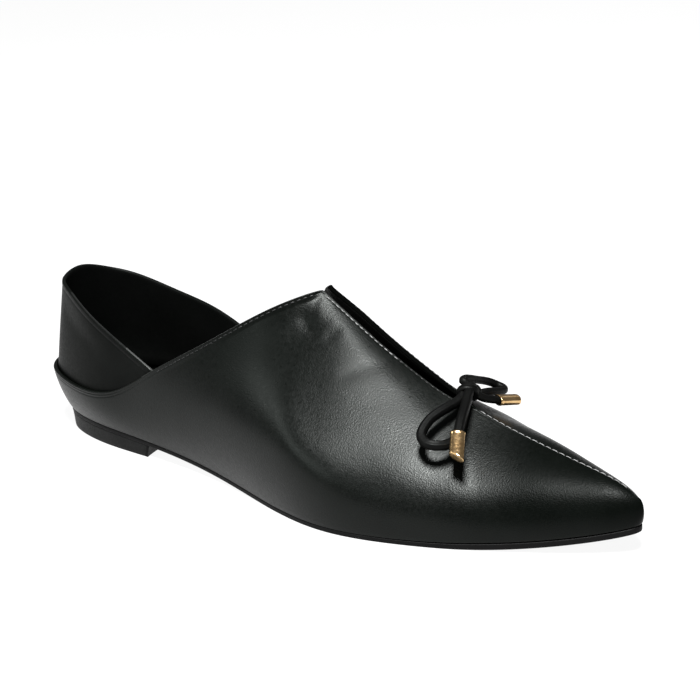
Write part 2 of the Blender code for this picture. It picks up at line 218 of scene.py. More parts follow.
NEAR_TAIL = [
    (199.3, -0.2, 43.8),
    (201.4, -4.4, 42.5),
    (203.6, -9.0, 40.9),
    (205.5, -13.2, 39.2)]
FAR_TAIL = [
    (200.5, 5.2, 41.0),
    (201.7, 8.0, 39.7),
    (202.4, 10.2, 39.0)]
NEAR_TIP = ((207.5, -17.6, 36.8), (211.9, -24.6, 31.5))
FAR_TIP = ((203.0, 11.0, 38.7), (205.8, 18.5, 37.3))
# where each strand starts and turns inside the knot
NEAR_START = (196.3, 2.2, 44.4)
FAR_START = (195.6, 4.6, 44.9)
NEAR_TUCK = [(197.7, 1.8, 41.5), (197.3, 3.0, 43.3), (198.0, 2.2, 44.2)]
FAR_TUCK = [(198.0, 5.4, 42.2), (198.2, 3.9, 43.0), (199.2, 3.9, 42.6)]


# ---------------------------------------------------------------- curves
def spline(rows, at):
    """natural cubic through the rows, at fractional row numbers"""
    v = np.asarray(rows, float)
    n = len(v)
    a = np.eye(n)
    r = np.zeros_like(v)
    for i in range(1, n - 1):
        a[i, i - 1:i + 2] = 1, 4, 1
        r[i] = 6 * (v[i - 1] - 2 * v[i] + v[i + 1])
    m = np.linalg.solve(a, r)
    at = np.asarray(at, float)
    i = np.clip(np.floor(at).astype(int), 0, n - 2)
    t = (at - i)[:, None]
    s = 1 - t
    return s * v[i] + t * v[i + 1] + ((s ** 3 - s) * m[i] + (t ** 3 - t) * m[i + 1]) / 6


def columns(table, side):
    n = (table.shape[1] - 1) // 2
    outer, inner = [0] + list(range(1, 1 + n)), [0] + list(range(1 + n, 1 + 2 * n))
    return (table[:, outer], table[:, inner]) if side < 0 else (table[:, inner], table[:, outer])


def past_heel(table, side):
    own, other = columns(table, side)
    return np.vstack([other[:0:-1], own])


def sole_under(x):
    """lower face of the outsole: seat, waist, flat ball, toe spring"""
    x = np.asarray(x, float)
    t = np.clip((BALL_START - x) / SEAT_LENGTH, 0, 1)
    s = np.clip((x - BALL_END) / (TOE_TIP - BALL_END), 0, 1.05)
    return SEAT_HEIGHT * np.sin(t * math.pi / 2) ** 1.5 + TOE_SPRING * s * s


def sole_thick(x):
    t = np.clip((np.asarray(x, float) - 190.0) / 35.0, 0, 1)
    return SOLE_THICK + (TOE_THICK - SOLE_THICK) * t * t * (3 - 2 * t)


def sole_top(x):
    return sole_under(x) + sole_thick(x)


def outline(side, q, inset=0.0):
    own, other = columns(FEATHER, side)
    loop = np.vstack([other[:0:-1], own, other[-2:-6:-1]])
    at = np.asarray(q, float) + LAST
    p = spline(loop, at)
    d = spline(loop, at + .01) - spline(loop, at - .01)
    out = np.column_stack([d[:, 1], -d[:, 0]]) * (1 if side < 0 else -1)
    out /= np.linalg.norm(out, axis=1)[:, None]
    return p - out * inset, out


def slit_half(side, q):
    return np.interp(q, GAP[:, 0], GAP[:, 1 if side < 0 else 2])


def head_line(side, q):
    """upper edge: round the opening to the apex, then down the slit and the centre seam"""
    lower = spline(past_heel(EDGE, side), np.minimum(q, APEX) + APEX)
    upper = spline(RIDGE, np.maximum(q - APEX, 0))
    upper[:, 1] += side * slit_half(side, q)
    return np.where((q <= APEX)[:, None], lower, upper)


def ribs(side, q, w):
    """outer face of the upper: w = 0 at the feather edge, 1 at the upper edge; w is one
    list for all rows or one list for each row"""
    q = np.asarray(q, float)
    p, o2 = outline(side, q)
    foot = np.column_stack([p, sole_top(p[:, 0]) + .05])
    o = np.column_stack([o2, np.zeros(len(q))])
    tip = head_line(side, q)
    # the corner at the apex fades out below the edge
    near = APEX_ROUND * np.exp(-((q - APEX) / 1.4) ** 2)
    steps = np.linspace(-1, 1, 9)
    share = (1.1 - np.abs(steps)) / (1.1 - np.abs(steps)).sum()
    head = sum(a * head_line(side, np.minimum(q + b * near, LAST)) for a, b in zip(share, steps))
    rib = spline(RIB, q)
    k = 1 if side < 0 else 4
    lean, slope = np.radians(rib[:, 0])[:, None], np.radians(rib[:, k + 1])[:, None]
    rise = (head - foot)[:, 2:3]
    reach = np.abs(((foot - head) * o).sum(1))[:, None]
    z = np.array([0., 0., 1.])
    c1 = foot + (o * np.sin(lean) + z * np.cos(lean)) * rib[:, k:k + 1] * rise
    c2 = head + (o * np.cos(slope) - z * np.sin(slope)) * rib[:, k + 2:k + 3] * (
        np.cos(slope) * reach + np.sin(slope) * rise)
    w = np.asarray(w, float)
    w = w[None, :, None] if w.ndim == 1 else w[:, :, None]
    return ((1 - w) ** 3 * foot[:, None] + 3 * (1 - w) ** 2 * w * c1[:, None]
            + 3 * (1 - w) * w * w * c2[:, None] + w ** 3 * head[:, None]
            + w ** 6 * (tip - head)[:, None])


def rib_frame(side, q, w):
    """outward unit normals and upward unit tangents of the upper's outer face"""
    h = .01
    q = np.asarray(q, float)
    w = np.asarray(w, float)
    along = ribs(side, q + h, w) - ribs(side, np.maximum(q - h, 0), w)
    up = ribs(side, q, np.minimum(w + h, 1)) - ribs(side, q, np.maximum(w - h, 0))
    n = np.cross(along, up) * -side
    return (n / np.linalg.norm(n, axis=2)[:, :, None],
            up / np.linalg.norm(up, axis=2)[:, :, None])


def arc_levels(side, q, distances):
    """w values at set distances (mm) along the rib from the feather edge; distances is (rows, levels)"""
    w = np.linspace(0, 1, 161)
    p = ribs(side, q, w)
    s = np.concatenate([np.zeros((len(q), 1)),
                        np.cumsum(np.linalg.norm(np.diff(p, axis=1), axis=2), axis=1)], axis=1)
    return np.array([np.interp(d, s[i], w) for i, d in enumerate(distances)]), s[:, -1]


def rib_length(side, q):
    w = np.linspace(0, 1, 161)
    return np.linalg.norm(np.diff(ribs(side, q, w), axis=1), axis=2).sum(1)


def heel_panel(side, q, levels):
    """outer face of the heel panel: inside the counter, then up to the collar"""
    w = np.linspace(0, 1, 61)
    n, _ = rib_frame(side, q, w)
    inner = ribs(side, q, w) - n * (WALL + CLEAR + .08)
    top = spline(past_heel(COLLAR, side), np.asarray(q) + len(COLLAR) - 1)
    back = np.exp(-(np.asarray(q) / 2.2) ** 2)
    out = np.zeros((len(q), len(levels), 3))
    for i in range(len(q)):
        c = inner[i]
        edge, before = c[-1], c[-8]
        rise = top[i, 2] - edge[2]
        zs = PANEL_FOOT + (top[i, 2] - PANEL_FOOT) * levels
        low = (zs <= edge[2]) | (rise < .4)
        t = ((zs - edge[2]) / max(rise, .4))[:, None]
        m1 = (top[i] - edge)[:2]
        m0 = (edge - before)[:2] / (edge - before)[2] * rise * (1 - back[i]) + m1 * 2.2 * back[i]
        free = ((2 * t ** 3 - 3 * t * t + 1) * edge[:2] + (t ** 3 - 2 * t * t + t) * m0
                + (3 * t * t - 2 * t ** 3) * top[i, :2] + (t ** 3 - t * t) * m1)
        kept = np.column_stack([np.interp(zs, c[:, 2], c[:, k]) for k in (0, 1)])
        out[i, :, :2] = np.where(low[:, None], kept, free)
        out[i, :, 2] = zs
    return out


# ---------------------------------------------------------------- creases
def along_line(points, line):
    """distance from each point to a broken line, and how far along it (0 to 1)"""
    line = np.asarray(line, float)
    seg = np.linalg.norm(np.diff(line, axis=0), axis=1)
    total = seg.sum()
    best = np.full(points.shape[:-1], 1e9)
    where = np.zeros(points.shape[:-1])
    done = 0.0
    for a, b, l in zip(line, line[1:], seg):
        d = (b - a) / l
        t = np.clip(((points - a) * d).sum(-1), 0, l)
        r = np.linalg.norm(points - a - t[..., None] * d, axis=-1)
        near = r < best
        best = np.where(near, r, best)
        where = np.where(near, (done + t) / total, where)
        done += l
    return best, where


def trough(points, line, width, depth):
    """soft trough (or ridge, with a negative depth) that fades out at both ends"""
    r, t = along_line(points, line)
    fade = np.clip(np.minimum(t, 1 - t) / .3, 0, 1)
    fade = fade * fade * (3 - 2 * fade)
    return -depth * fade * np.exp(-(r / width) ** 2)


CREASES = [
    # line in shoe millimetres, half width, depth
    ([(134.1, -10.5, 65.3), (137.2, -11.0, 61.9), (141.2, -11.6, 59.1), (145.4, -11.5, 57.5)], 1.7, .26),
    ([(146.0, -12.1, 56.6), (148.5, -9.3, 58.3), (150.5, -5.5, 61.2)], 1.6, .18),
    ([(136.6, -7.0, 68.2), (140.0, -7.4, 64.7), (144.2, -9.0, 60.8)], 2.8, -.24),
    ([(136.5, -7.5, 67.4), (130.6, -13.4, 64.0), (124.7, -17.6, 60.7), (118.2, -21.1, 56.4)], 2.2, -.10),
    ([(155.8, -18.4, 46.4), (160.8, -13.8, 48.2), (164.8, -9.4, 49.6), (170.5, -6.1, 48.9)], 2.6, .13),
    ([(128.6, -25.6, 46.2), (134.7, -24.7, 46.5)], .9, -.06),
    ([(145.2, -23.3, 45.7), (151.9, -21.9, 44.8)], .9, -.06),
]


def relief(points):
    """how far the leather stands off its smooth shape"""
    d = np.zeros(points.shape[:-1])
    for line, width, depth in CREASES:
        d += trough(points, line, width, depth)
    x, y, z = points[..., 0], points[..., 1], points[..., 2]
    d += .05 * np.sin(x / 9.0 + z / 13.0 + 1.3) * np.sin(y / 11.0 - x / 23.0)
    d += .03 * np.sin(x / 4.7 - z / 6.1) * np.sin(y / 5.3 + z / 8.9 + .6)
    return d


# ---------------------------------------------------------------- materials
def node(tree, kind, **inputs):
    n = tree.nodes.new(kind)
    for key, value in inputs.items():
        n.inputs[key.replace("_", " ")].default_value = value
    return n


def ramp(tree, source, stops):
    r = tree.nodes.new("ShaderNodeValToRGB")
    while len(r.color_ramp.elements) < len(stops):
        r.color_ramp.elements.new(.5)
    for e, (at, c) in zip(r.color_ramp.elements, stops):
        e.position = at
        e.color = (*c, 1) if not isinstance(c, float) else (c, c, c, 1)
    tree.links.new(source, r.inputs["Fac"])
    return r.outputs["Color"]


def spread(tree, source, low, high, start=0.0, end=1.0):
    m = tree.nodes.new("ShaderNodeMapRange")
    for key, value in (("From Min", start), ("From Max", end), ("To Min", low), ("To Max", high)):
        m.inputs[key].default_value = value
    tree.links.new(source, m.inputs["Value"])
    return m.outputs["Result"]


def new_material(name):
    m = bpy.data.materials.new(name)
    m.use_nodes = True
    t = m.node_tree
    shader = t.nodes["Principled BSDF"]
    place = t.nodes.new("ShaderNodeTexCoord").outputs["Object"]
    return m, t, shader, place


def noise(tree, place, size_mm, detail=3.0, rough=.55):
    n = node(tree, "ShaderNodeTexNoise", Scale=1000.0 / size_mm, Detail=detail, Roughness=rough)
    tree.links.new(place, n.inputs["Vector"])
    return n.outputs["Fac"]


def cells(tree, place, size_mm, feature="F1", smooth=None, random=1.0):
    n = tree.nodes.new("ShaderNodeTexVoronoi")
    n.feature = feature
    n.inputs["Scale"].default_value = 1000.0 / size_mm
    n.inputs["Randomness"].default_value = random
    if smooth is not None:
        n.inputs["Smoothness"].default_value = smooth
    tree.links.new(place, n.inputs["Vector"])
    return n.outputs["Distance"]


def bump(tree, height, strength, depth_mm, under=None):
    b = node(tree, "ShaderNodeBump", Strength=strength, Distance=depth_mm * MM)
    tree.links.new(height, b.inputs["Height"])
    if under is not None:
        tree.links.new(under, b.inputs["Normal"])
    return b.outputs["Normal"]


def leather(name, dark, light, rough, grain_mm, grain, wave, specular=.5, dull=None):
    """dull: rows (axis, start, end, share) fade the gloss along an axis, metres in the shoe's frame;
    where a row's share is itself (start, end, low, high) it goes from low to high with height"""
    m, t, shader, place = new_material(name)
    patch = noise(t, place, 14.0, 4.0)
    t.links.new(ramp(t, patch, [(.35, dark), (.68, light)]), shader.inputs["Base Color"])
    fine = noise(t, place, grain_mm * 2.3, 3.0, .6)
    t.links.new(spread(t, fine, rough - .06, rough + .07, .3, .7), shader.inputs["Roughness"])
    n = bump(t, noise(t, place, 7.0, 2.0), wave, .35)
    n = bump(t, cells(t, place, grain_mm, "SMOOTH_F1", .35), grain, grain_mm * .13, n)
    n = bump(t, noise(t, place, grain_mm * .6, 2.0), grain, grain_mm * .09, n)
    t.links.new(n, shader.inputs["Normal"])
    shader.inputs["Specular IOR Level"].default_value = specular
    shader.inputs["Specular Tint"].default_value = (.96, 1.0, .97, 1)
    if dull:
        split = t.nodes.new("ShaderNodeSeparateXYZ")
        t.links.new(place, split.inputs["Vector"])
        gloss = None
        for axis, start, end, share in dull:
            m_range = t.nodes.new("ShaderNodeMapRange")
            m_range.interpolation_type = "SMOOTHSTEP"
            for key, value in (("From Min", start), ("From Max", end), ("To Min", 1.0)):
                m_range.inputs[key].default_value = value
            if isinstance(share, tuple):
                height = t.nodes.new("ShaderNodeMapRange")
                height.interpolation_type = "SMOOTHSTEP"
                for key, value in zip(("From Min", "From Max", "To Min", "To Max"), share):
                    height.inputs[key].default_value = value
                t.links.new(split.outputs["Z"], height.inputs["Value"])
                t.links.new(height.outputs["Result"], m_range.inputs["To Max"])
            else:
                m_range.inputs["To Max"].default_value = share
            t.links.new(split.outputs[axis], m_range.inputs["Value"])
            product = t.nodes.new("ShaderNodeMath")
            product.operation = "MULTIPLY"
            t.links.new(m_range.outputs["Result"], product.inputs[0])
            if gloss is None:
                product.inputs[1].default_value = specular
            else:
                t.links.new(gloss, product.inputs[1])
            gloss = product.outputs["Value"]
        t.links.new(gloss, shader.inputs["Specular IOR Level"])
    return m


upper_leather = leather("upper_leather", (.0010, .0014, .0011), (.0018, .0023, .0019), .33, .48, .58, .08, .175,
                        [("X", .066, .099, (.004, .017, .75, .15)), ("Z", .034, .056, .54)])
panel_leather = leather("panel_leather", (.0017, .0020, .0018), (.0030, .0034, .0030), .42, .46, .25, .06, .040)
lining = leather("lining_leather", (.0006, .0007, .0006), (.0011, .0012, .0011), .66, .5, .15, .06, .05)
# colour well above the lining's: painted light on the folded-in facing in the shaded slit
facing_painted_light = leather("facing_painted_light", (.0200, .0204, .0200), (.0300, .0306, .0300), .62, .5, .20, .06, .03)
rim_leather = leather("rim_leather", (.0006, .0007, .0006), (.0011, .0012, .0011), .92, .5, .15, .06, .01)
insole_leather = leather("insole_leather", (.0009, .0010, .0009), (.0016, .0017, .0016), .62, .6, .22, .08, .06)
cord_leather = leather("cord_leather", (.0007, .0007, .0007), (.0016, .0016, .0015), .46, .55, .55, .05, .085)
# lighter leather for the folded edges on the near side only: a painted highlight
painted_edge_highlight = leather("painted_edge_highlight", (.020, .021, .021), (.045, .046, .045), .30, .4, .15, .03, .5)
# fainter lighter edge leather: a painted highlight
painted_faint_highlight = leather("painted_faint_highlight", (.005, .0053, .0053), (.011, .0115, .0112), .36, .4, .15, .03, .16)


def rubber(name, dark, light, rough, grain_mm):
    m, t, shader, place = new_material(name)
    patch = noise(t, place, 9.0, 5.0)
    t.links.new(ramp(t, patch, [(.35, dark), (.7, light)]), shader.inputs["Base Color"])
    fine = noise(t, place, grain_mm, 2.0)
    t.links.new(spread(t, fine, rough - .08, rough + .10, .3, .7), shader.inputs["Roughness"])
    n = bump(t, noise(t, place, grain_mm * 1.6, 3.0), .22, .10)
    t.links.new(n, shader.inputs["Normal"])
    shader.inputs["Specular IOR Level"].default_value = .10
    return m


sole_rubber = rubber("sole_rubber", (.0016, .0016, .0017), (.0030, .0030, .0030), .52, .6)
heel_rubber = rubber("heel_rubber", (.0030, .0032, .0031), (.0055, .0056, .0055), .50, .7)

gold, t, shader, place = new_material("gold_metal")
t.links.new(ramp(t, noise(t, place, 3.0, 4.0), [(.3, (.66, .42, .19)), (.7, (.80, .55, .28))]),
            shader.inputs["Base Color"])
t.links.new(spread(t, noise(t, place, .8, 4.0), .13, .26, .3, .7), shader.inputs["Roughness"])
t.links.new(bump(t, noise(t, place, .35, 2.0), .06, .03), shader.inputs["Normal"])
shader.inputs["Metallic"].default_value = 1.0



def sewing(name, dark, light):
    m, t, shader, place = new_material(name)
    t.links.new(ramp(t, noise(t, place, 1.2, 3.0), [(.3, dark), (.7, light)]), shader.inputs["Base Color"])
    t.links.new(spread(t, noise(t, place, .3, 2.0), .35, .55, .3, .7), shader.inputs["Roughness"])
    t.links.new(bump(t, noise(t, place, .18, 2.0), .3, .03), shader.inputs["Normal"])
    return m


thread = sewing("thread_grey", (.006, .006, .006), (.014, .014, .014))
thread_black = sewing("thread_black", (.0010, .0010, .0010), (.0020, .0020, .0020))
# light grey thread: a painted highlight standing in for glints on the slit and seam stitches
thread_painted_glint = sewing("thread_painted_glint", (.10, .10, .10), (.22, .22, .22))


# ---------------------------------------------------------------- meshes
def piece(name, points, faces, mats, which=None):
    """smooth mesh object from points in shoe millimetres, riding on the shoe"""
    pts = (np.asarray(points, float).reshape(-1, 3) - ORIGIN) * MM
    mesh = bpy.data.meshes.new(name)
    mesh.from_pydata(pts.tolist(), [], [list(f) for f in faces])
    for m in mats:
        mesh.materials.append(m)
    if which is not None:
        mesh.polygons.foreach_set("material_index", np.asarray(which, np.int32))
    mesh.polygons.foreach_set("use_smooth", np.ones(len(mesh.polygons), bool))
    mesh.validate()
    mesh.update()
    ob = bpy.data.objects.new(name, mesh)
    scene.collection.objects.link(ob)
    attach(ob, "root")
    return ob


def wrap_faces(n, m, close_n, close_m, flip=False):
    """quads of an n by m grid, closed in either direction"""
    i = np.arange(n if close_n else n - 1)[:, None]
    j = np.arange(m if close_m else m - 1)[None, :]
    a, b = i * m + j, ((i + 1) % n) * m + j
    c, d = ((i + 1) % n) * m + (j + 1) % m, i * m + (j + 1) % m
    f = np.stack(np.broadcast_arrays(a, b, c, d), axis=-1).reshape(-1, 4)
    return f[:, ::-1] if flip else f


def smooth(t):
    return t * t * (3 - 2 * t)


# ---------------------------------------------------------------- upper
STEPS = 13                                   # columns to a row
EDGE_ZONE = np.arange(.25, 4.6, .25)         # fine levels below the upper edge, mm
SIDE_LEVELS = 46
INNER_LEVELS = 20


def fold_radius(q):
    return np.interp(q, [0, SLIT - .2, SLIT + .6, LAST], [FOLD_RADIUS, FOLD_RADIUS, SEAM_RADIUS, SEAM_RADIUS])


def stitch_line(q):
    """how far below the upper edge the stitches run, mm"""
    return np.interp(q, [0, 4, 6, 9.7, 10.3, SLIT, SLIT + .6, LAST], [1.9, 1.9, 1.5, 1.5, .85, .85, .8, .8])


def edge_roll(q):
    """how far the leather rolls in at the edge of the opening, mm; the folded part of the
    opening stands out instead"""
    return np.interp(q, [0, 4.5, 6.0, 9.5, 10.2, SLIT, SLIT + .6, LAST], [0, 0, -.52, -.52, -.10, .05, 0, 0])


def throat_turn(d, q):
    """how far the leather bends down towards the outer edge of the slit (d mm below the edge)"""
    deep = np.interp(q, [0, 9.6, 10.1, 10.6, 11.5, 13.4, SLIT + .4, LAST], [0, 0, 1.0, 1.5, 1.3, 1.25, 0, 0])[:, None]
    wide = np.interp(q, [0, 10.6, 11.8, 13.0, LAST], [7.5, 7.5, 11.0, 14.5, 14.5])[:, None]
    return deep * np.clip((wide - d) / wide, 0, 1) ** 2


def edge_groove(d, q):
    """two fine lines round the counter, one stitch channel along the rest (d mm below the edge)"""
    counter = np.interp(q, [0, 4.0, 6.0, LAST], [1, 1, 0, 0])[:, None]
    deep = np.interp(q, [0, 4.0, 6.0, 9.7, 10.3, SLIT, SLIT + .6, LAST], [.22, .22, .09, .09, .08, .08, .05, .04])[:, None]
    line = stitch_line(q)[:, None]
    roll = edge_roll(q)[:, None] * np.clip((3.4 - d) / 3.4, 0, 1) ** 1.15
    return (-roll - deep * np.exp(-((d - line) / .30) ** 2) - .22 * counter * np.exp(-((d - .95) / .26) ** 2)
            + .05 * counter * np.exp(-((d - 1.4) / .35) ** 2))


def upper_side(side, q):
    """closed wall section in each column: under, outer face, folded edge, lining"""
    n = len(q)
    length = rib_length(side, q)
    rt = fold_radius(q)
    rb = np.interp(q, [0, 11, 14.5, LAST], [TURN_RADIUS, TURN_RADIUS, TOE_TURN, TOE_TURN])[:, None]
    down = EDGE_ZONE[None, ::-1] + rt[:, None]                   # from the edge
    zone = length[:, None] - down
    t = np.linspace(0, 1, SIDE_LEVELS, endpoint=False)
    body = rb + (zone[:, :1] - rb) * t[None, :]
    last = (length - rt)[:, None]
    s = np.hstack([body, zone, last])
    w, _ = arc_levels(side, q, s)
    base = ribs(side, q, w)
    nrm, tan = rib_frame(side, q, w)
    d = length[:, None] - s
    fade = smooth(np.clip(np.minimum(s - rb, d) / 3.0, 0, 1))
    # towards the closed toe both sides share one shape
    fade *= smooth(np.clip((LAST - q) / .8, 0, 1))[:, None]
    lift = relief(base) * fade + edge_groove(d, q) * smooth(np.clip((LAST - q) / .5, 0, 1))[:, None]
    lift[:, -1] = -edge_roll(q)
    turn = throat_turn(d, q) if side < 0 else np.zeros_like(d)
    outer = base + nrm * (lift - turn)[:, :, None]
    turn = turn[:, -1:]
    # turned-in foot
    c = base[:, 0] - nrm[:, 0] * rb
    under = [c - tan[:, 0] * rb - nrm[:, 0] * .5 * (WALL - rb)]
    for a in np.radians([90, 68, 45, 22]):
        under.append(c + rb * (np.cos(a) * nrm[:, 0] - np.sin(a) * tan[:, 0]))
    # folded upper edge
    rim = []
    r = rt[:, None]
    c1, c2 = base[:, -1] - nrm[:, -1] * (r + edge_roll(q)[:, None] + turn), base[:, -1] - nrm[:, -1] * (WALL - r + turn)
    for a in np.radians([18, 36, 54, 72, 90]):
        rim.append(c1 + r * (np.cos(a) * nrm[:, -1] + np.sin(a) * tan[:, -1]))
    for a in np.radians([90, 60, 30]):
        rim.append(c2 + r * (-np.cos(a) * nrm[:, -1] + np.sin(a) * tan[:, -1]))
    # lining
    si = rb + (last - rb) * np.linspace(1, 0, INNER_LEVELS)[None, :]
    wi, _ = arc_levels(side, q, si)
    ni, _ = rib_frame(side, q, wi)
    turn = throat_turn(length[:, None] - si, q) if side < 0 else np.zeros_like(si)
    inner = ribs(side, q, wi) - ni * (WALL + turn)[:, :, None]
    ring = np.concatenate([np.stack(under, 1), outer, np.stack(rim, 1), inner], axis=1)
    # nothing crosses the centre line below the slit
    closed = q >= SLIT + .4
    mid = np.interp(ring[..., 0], RIDGE[:, 0], RIDGE[:, 1])
    over = side * (ring[..., 1] - mid)
    ring[..., 1] = np.where(closed[:, None] & (over < SEAM_HALF * .5), mid + side * SEAM_HALF * .5, ring[..., 1])
    ring[:, 0, 2] = np.maximum(ring[:, 0, 2], sole_top(ring[:, 0, 0]) + .03)
    parts = (len(under), outer.shape[1], len(rim), INNER_LEVELS)
    return ring, parts


rows = np.linspace(0, LAST, LAST * STEPS + 1)
near, parts = upper_side(-1, rows)
far, _ = upper_side(1, rows)
heel_mid, toe_mid = (near[0] + far[0]) / 2, (near[-1] + far[-1]) / 2
near[0] = far[0] = heel_mid
near[-1] = far[-1] = toe_mid
rings = np.concatenate([near[::-1], far[1:-1]])
count = rings.shape[1]
faces = wrap_faces(len(rings), count, True, True)
level = np.tile(np.arange(count), len(rings))
which = np.where((level >= sum(parts[:3]) - 2), 1, 0)
col_q = np.repeat(np.concatenate([rows[::-1], rows[1:-1]]), count)
col_near = np.repeat(np.arange(len(rings)) < len(rows), count)
facing = (level >= sum(parts[:3]) - 2) & (level < sum(parts[:3]) + 3) & (col_q > 9.3) & (col_q < SLIT)
which[facing] = 4                                   # folded-in leather behind the slit, coloured lighter as painted light in the shaded slit
# near topline and near slit edge only: painted highlight on the folded edge
painted_highlight_rim = (level >= sum(parts[:2]) + 1) & (level < sum(parts[:2]) + 4) & col_near & (col_q > 4.8) & (col_q < 12.4)
which[painted_highlight_rim] = 3
far_rim = (level >= sum(parts[:2]) - 6) & (level < sum(parts[:3])) & ~col_near & (col_q > APEX - .1) & (col_q < SLIT)
which[far_rim] = 5
upper = piece("upper_leather_shell", rings, faces, [upper_leather, lining, panel_leather, painted_edge_highlight, facing_painted_light, rim_leather], which)
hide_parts("upper")


# ---------------------------------------------------------------- stitches
def stitch_row(points, normals, pitch=STITCH_PITCH, long=STITCH_LONG, r=STITCH_RADIUS):
    """short threads, dipping at both ends, along a line on the leather"""
    step = np.linalg.norm(np.diff(points, axis=0), axis=1)
    s = np.concatenate([[0], np.cumsum(step)])
    total = max(1, int(s[-1] // pitch))
    at = (np.arange(total) + .5) * s[-1] / total
    verts, quads = [], []
    for c in at:
        u = np.linspace(-.5, .5, 7)
        line = np.column_stack([np.interp(c + u * long, s, points[:, k]) for k in range(3)])
        nn = np.array([np.interp(c, s, normals[:, k]) for k in range(3)])
        nn /= np.linalg.norm(nn)
        line += nn * (.10 - .34 * (2 * u[:, None]) ** 4)
        t = line[-1] - line[0]
        t /= np.linalg.norm(t)
        b = np.cross(t, nn)
        thick = r * np.sqrt(np.clip(1 - (2 * np.abs(u)) ** 6 * .8, 0, 1))
        base = len(verts)
        for p, k in zip(line, thick):
            for a in np.arange(6) * math.pi / 3:
                verts.append(p + k * (math.cos(a) * b + math.sin(a) * nn))
        for i in range(6):
            for j in range(6):
                a0, a1 = base + i * 6 + j, base + i * 6 + (j + 1) % 6
                quads.append([a0, a1, a1 + 6, a0 + 6])
        quads.append([base + j for j in range(5, -1, -1)])
        quads.append([base + 36 + j for j in range(6)])
    return verts, quads


def edge_line(side, q, d):
    """points and normals a set distance below the upper edge, on the relief"""
    length = rib_length(side, q)
    d = np.broadcast_to(np.asarray(d, float), q.shape)
    w, _ = arc_levels(side, q, (length - d)[:, None])
    p = ribs(side, q, w)
    n, _ = rib_frame(side, q, w)
    lift = relief(p) * smooth(np.clip(d[:, None] / 3, 0, 1)) + edge_groove(d[:, None], q)
    if side < 0:
        lift = lift - throat_turn(d[:, None], q)
    return (p + n * lift[:, :, None])[:, 0], n[:, 0]


verts, quads, tones = [], [], []


def add_row(points, normals, tone, **more):
    v, f = stitch_row(points, normals, **more)
    quads.extend([[k + len(verts) for k in face] for face in f])
    tones.extend([tone] * len(f))
    verts.extend(v)


for side in (-1, 1):
    # tone 2 is the light grey thread, a painted highlight on the stitches
    for low, high, tone in ((5.2, 7.4, 1), (7.4, 9.8, 0), (10.15, 12.3, 2), (12.3, 14.0, 1)):
        q = np.linspace(low, high, 240)
        add_row(*edge_line(side, q, stitch_line(q)), tone)
q = np.linspace(14.55, 18.35, 300)                 # along the closed centre seam
pair = [rib_frame(side, q, np.array([1.0]))[0][:, 0] for side in (-1, 1)]
lines = [ribs(side, q, np.array([1.0]))[:, 0] for side in (-1, 1)]
up = pair[0] + pair[1]
up /= np.linalg.norm(up, axis=1)[:, None]
# centre seam stitches in the light grey thread: a painted highlight
add_row((lines[0] + lines[1]) / 2 + up * .02, up, 2, pitch=2.6, long=2.45, r=.15)
stitches = piece("edge_stitching", verts, quads, [thread, thread_black, thread_painted_glint], tones)

# ---------------------------------------------------------------- heel panel
panel_q = np.linspace(0, PANEL_END, 84)
panel_levels = np.concatenate([np.linspace(0, .84, 40), np.linspace(.845, .985, 22)])


def panel_side(side):
    out = heel_panel(side, panel_q, panel_levels)
    hi = heel_panel(side, panel_q, np.array([1.0]))[:, 0]
    du = np.gradient(out, axis=0)
    dv = np.gradient(out, axis=1)
    n = np.cross(du, dv) * -side
    n /= np.linalg.norm(n, axis=2)[:, :, None]
    if side > 0:
        n[0] = (n[0] * [1, 0, 1]); n[0] /= np.linalg.norm(n[0], axis=1)[:, None]
    else:
        n[0] = (n[0] * [1, 0, 1]); n[0] /= np.linalg.norm(n[0], axis=1)[:, None]
    d = hi[:, None, 2] - out[:, :, 2]                       # below the collar
    groove = -.10 * np.exp(-((d - 2.2) / .4) ** 2) + .12 * np.exp(-((d - .9) / .9) ** 2)
    soft = trough(out, [(5.0, side * 6.0, 55.0), (3.5, side * 5.0, 44.0), (3.5, side * 6.0, 33.0)], 3.5, .30)
    soft += trough(out, [(12.0, side * 17.5, 52.0), (28.0, side * 22.5, 45.0), (48.0, side * 25.8, 37.0)], 4.0, .32)
    soft += .06 * np.sin(out[..., 0] / 6.0 + out[..., 2] / 7.0)
    fade = smooth(np.clip((d - 2.0) / 4.0, 0, 1)) * smooth(np.clip((PANEL_END - panel_q) / .6, 0, 1))[:, None]
    base = out.copy()
    out = out + n * (groove + soft * fade)[:, :, None]
    r = PANEL_WALL / 2
    tan = hi - base[:, -1]
    tan /= np.linalg.norm(tan, axis=1)[:, None]
    c = base[:, -1] - n[:, -1] * r + n[:, -1] * .1
    rim = [c + (r + .08) * (math.cos(a) * n[:, -1] + math.sin(a) * tan) for a in np.radians(np.arange(22, 180, 22))]
    back = base[:, ::-4] - n[:, ::-4] * PANEL_WALL
    return np.concatenate([out, np.stack(rim, 1), back], axis=1), out.shape[1], len(rim)


near_p, k_out, k_rim = panel_side(-1)
far_p, _, _ = panel_side(1)
mid = (near_p[0] + far_p[0]) / 2
near_p[0] = far_p[0] = mid
rings = np.concatenate([near_p[::-1], far_p[1:]])
count = rings.shape[1]
faces = wrap_faces(len(rings), count, False, True).tolist()
level = np.tile(np.arange(count), len(rings) - 1)
col_q = np.repeat(np.concatenate([panel_q[::-1], panel_q[1:]])[:-1], count)
which = np.where(level >= k_out + k_rim - 2, 1, 0)
near_side = np.repeat(np.arange(len(rings) - 1) < len(panel_q) - 1, count)
edge_band = (level >= k_out + 2) & (level < k_out + k_rim) & near_side
